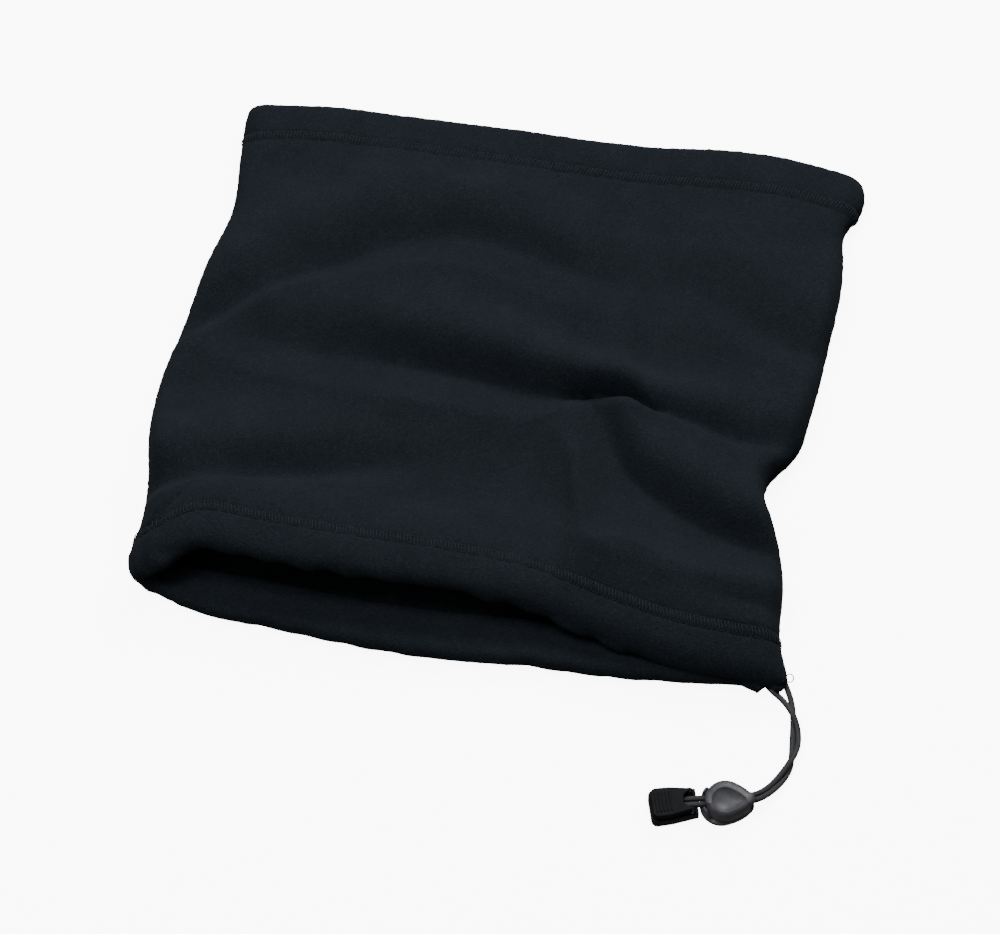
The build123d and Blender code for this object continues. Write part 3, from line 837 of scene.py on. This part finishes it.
# ---------------------------------------------------------------- cord lock
LOCK_YAW = math.radians(9.2)
LOCK_COLUMNS = 120
CUP_CIRCLES = [(-2.35, 8.55), (3.2, 6.3), (7.8, 3.1)]       # (centre along the lock, radius)
CAP_CIRCLES = [(-0.75, 8.4), (3.2, 6.4), (7.7, 3.2)]
DISH_CIRCLES = [(-1.1, 5.2), (2.4, 3.6), (6.3, 1.0)]
DISH_SIDEWAYS = -1.7         # the dish sits nearer the front of the cap
CAP_LEAN = 0.07              # the cap's top slopes down towards its front
CORD_GATE = 3.1              # half width of the openings that the strands pass through
CUP_FLANGE = 2.5
CUP_WALL = 5.6
CUP_CRESCENT = 7.6
CUP_FLOOR = 1.2
WALL_GATE = 3.6              # the walls' edges under the strands
CRESCENT_GATE = 3.4
CUP_INSET_RANGE = 3.0
CAP_SKIRT = 4.1
CAP_GATE = 7.9
CAP_SHOULDER = 5.6
CAP_TOP = 10.5
DISH_DEPTH = 2.0
CAP_ROOF = 7.75              # underside, above the strands


def teardrop(circles, inset=0.0):
    """Points of a smooth teardrop round three circles, one for each direction of its normal."""
    centres, radii = np.array(circles, dtype=float).T
    centre = np.linspace(centres[0], centres[-1], 60)
    bend = np.polyfit(centres, radii, 2)
    radius = np.polyval(bend, centre) - inset
    angle = (np.arange(LOCK_COLUMNS) + 0.5) * 2 * math.pi / LOCK_COLUMNS
    best = np.argmax(centre[None] * np.cos(angle)[:, None] + radius[None], axis=1)
    return np.stack([centre[best] + radius[best] * np.cos(angle), radius[best] * np.sin(angle)], axis=-1)


def ring(outline, height):
    """One ring of points at a height, or at a height for each point."""
    return np.concatenate([outline, np.broadcast_to(np.asarray(height, dtype=float).reshape(-1, 1),
                                                    (len(outline), 1))], axis=1)


def gate_height(outline, elsewhere, in_gate):
    """A wall's edge, which steps aside where the strands pass."""
    inside = 1 / (1 + np.exp((np.abs(outline[:, 1]) - CORD_GATE) / 0.12))
    return elsewhere + (in_gate - elsewhere) * inside


def lofted(rings, place, yaw):
    """A closed shape through rings of points, turned and moved to its place."""
    count = len(rings[0])
    points = np.concatenate(rings)
    turn = np.array([[math.cos(yaw), math.sin(yaw), 0], [-math.sin(yaw), math.cos(yaw), 0], [0, 0, 1]])
    faces = grid_faces(len(rings), count, closed=True)
    faces.append(tuple(range(count))[::-1])
    last = (len(rings) - 1) * count
    faces.append(tuple(range(last, last + count)))
    return points @ turn + place, faces


def lock_cap_rings():
    """From the middle of the underside, round the skirt, over the dome and down into the dish."""
    outline = teardrop(CAP_CIRCLES)
    dish = teardrop(DISH_CIRCLES) + (0.0, DISH_SIDEWAYS)
    middle = dish.mean(axis=0)
    skirt = gate_height(outline, CAP_SKIRT, CAP_GATE)
    inner = teardrop(CAP_CIRCLES, 1.3)
    rings = [ring(middle + (inner - middle) * share, CAP_ROOF) for share in (0.05, 0.5, 0.97)]
    rings.append(ring(inner, np.minimum(skirt + 0.3, CAP_ROOF - 0.02)))
    rings.append(ring(teardrop(CAP_CIRCLES, 1.1), skirt))
    rings.append(ring(teardrop(CAP_CIRCLES, 0.25), skirt))
    rings.append(ring(outline, skirt + 0.3))
    shoulder = np.maximum(CAP_SHOULDER, skirt + 0.35)
    for share in (0.0, 0.06, 0.14, 0.25, 0.38, 0.52, 0.68, 0.84, 0.94):
        rise = (1 - (1 - share) ** 2.3) ** (1 / 2.3)
        place = outline + (dish - outline) * share
        crest = CAP_TOP + CAP_LEAN * place[:, 1] + 0.3 * math.exp(-((share - 0.94) / 0.06) ** 2)
        rings.append(ring(place, shoulder + (crest - shoulder) * rise))
    for share in (1.0, 0.97, 0.92, 0.84, 0.7, 0.5, 0.3, 0.1, 0.02):
        place = middle + (dish - middle) * share
        height = CAP_TOP + CAP_LEAN * place[:, 1] - 0.1 - DISH_DEPTH * (1 - share ** 2.3) ** 0.85
        rings.append(ring(place, height))
    return rings


def moved_in(circles, inset):
    """A teardrop moved in by an amount of each point's own."""
    near = teardrop(circles)
    far = teardrop(circles, CUP_INSET_RANGE)
    return near + (far - near) * (inset / CUP_INSET_RANGE)[:, None]


def crescent_share():
    """1 round the cup's blunt end, where its outer wall stands at full height, and 0 elsewhere."""
    angle = (np.arange(LOCK_COLUMNS) + 0.5) * 2 * math.pi / LOCK_COLUMNS
    return 1 / (1 + np.exp((np.cos(angle) + 0.62) / 0.035))


def lock_cup_rings():
    """Underside, flange, the low wall inside the cap's skirt or the crescent outside it, and the floor."""
    outline = teardrop(CUP_CIRCLES)
    blunt = crescent_share()
    rest = 1 - blunt
    wall = gate_height(outline, CUP_WALL, WALL_GATE)
    crescent = gate_height(outline, CUP_CRESCENT, CRESCENT_GATE)
    rise = (crescent - CUP_FLANGE) * blunt
    top = np.maximum(wall, crescent * blunt)
    outer = 1.75 - 1.3 * blunt
    inner = 2.7 - 1.25 * blunt
    shell = ((0.55, 0.0), (0.2, 0.15), (0.03, 0.5), (0.0, 1.0),
             (0.0, CUP_FLANGE - 0.4), (0.12, CUP_FLANGE - 0.1))
    walls = (
        (0.4 - 0.38 * blunt, CUP_FLANGE),
        (outer * rest + 0.02 * blunt, CUP_FLANGE + 0.05 + 0.5 * rise * blunt),
        (outer * rest + 0.10 * blunt, top - 0.5),
        (outer + 0.1 * rest, top - 0.1),
        ((outer + inner) / 2, top),
        (inner, top - 0.15),
        (inner + 0.05, CUP_FLOOR + 0.2),
    )
    rings = [ring(outline * share, 0.0) for share in (0.04, 0.6)]
    rings += [ring(teardrop(CUP_CIRCLES, inset), height) for inset, height in shell]
    rings += [ring(moved_in(CUP_CIRCLES, inset), height) for inset, height in walls]
    rings += [ring(outline * share, CUP_FLOOR) for share in (0.55, 0.04)]
    return rings


def add_lock(material):
    low, high = (np.array(corner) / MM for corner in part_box("cord_lock_housing"))
    place = np.array([(low[0] + high[0]) / 2, (low[1] + high[1]) / 2, low[2]])
    parts = (("lock_cup", lock_cup_rings(), "cord_lock", "cord_lock_housing"),
             ("lock_cap", lock_cap_rings(), "lock_button", "cord_lock_button"))
    pieces = []
    for name, some_rings, body, node in parts:
        piece = add_mesh(name, *lofted(some_rings, place, LOCK_YAW))
        smooth = piece.modifiers.new("smooth", "SUBSURF")
        smooth.levels = 1
        smooth.render_levels = 1
        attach(piece, body)
        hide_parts(node)
        piece.data.materials.append(material)
        pieces.append(piece)
    return pieces


def finish_nodes(finishes):
    """Better materials on the CAD parts that stay."""
    for entry in frame["record"]["subparts"]:
        piece = frame["nodes"][entry["node"]]
        material = finishes.get(entry["material_slot"])
        if material is None or piece.hide_render:
            continue
        for place in piece.material_slots:
            place.material = material


FLOOR_REACH = 3000
FLOOR_GLOW = 8.0


def add_floor():
    """A pale floor that the camera sees, but that doesn't light the object."""
    corners = [(x * FLOOR_REACH, y * FLOOR_REACH, 0) for x, y in ((-1, -1), (1, -1), (1, 1), (-1, 1))]
    floor = add_mesh("floor", corners, [(0, 1, 2, 3)])
    material, _, shader = new_material("floor")
    shader.inputs["Base Color"].default_value = (0.9, 0.9, 0.9, 1.0)
    shader.inputs["Roughness"].default_value = 0.8
    shader.inputs["Emission Color"].default_value = (1.0, 1.0, 1.0, 1.0)
    shader.inputs["Emission Strength"].default_value = FLOOR_GLOW
    floor.data.materials.append(material)
    floor.visible_diffuse = False
    floor.visible_glossy = False


def build():
    fleece_look = fleece_material()
    thread, cord = thread_material(), cord_material()
    plastic = plastic_material("lock_plastic", (0.027, 0.027, 0.0305), (0.048, 0.048, 0.054), 0.22)
    dark_plastic = plastic_material("clip_plastic", (0.0022, 0.0026, 0.0034), (0.0042, 0.0047, 0.006), 0.05)
    add_camera()
    strands = add_strands(cord)
    add_held_cord(cord)
    lock = add_lock(plastic)
    fleece = add_fleece()
    allowance = add_seam_allowance(fleece_look)
    add_seam_thread(thread)
    add_hem_stitches(thread)
    add_bartacks(thread)
    finish_nodes({
        "moulded_plastic": dark_plastic,
        "thread": thread,
        "elastic_cord": cord,
        "steel": steel_material(),
    })
    add_floor()
    add_light()


build()
bpy.context.view_layer.update()
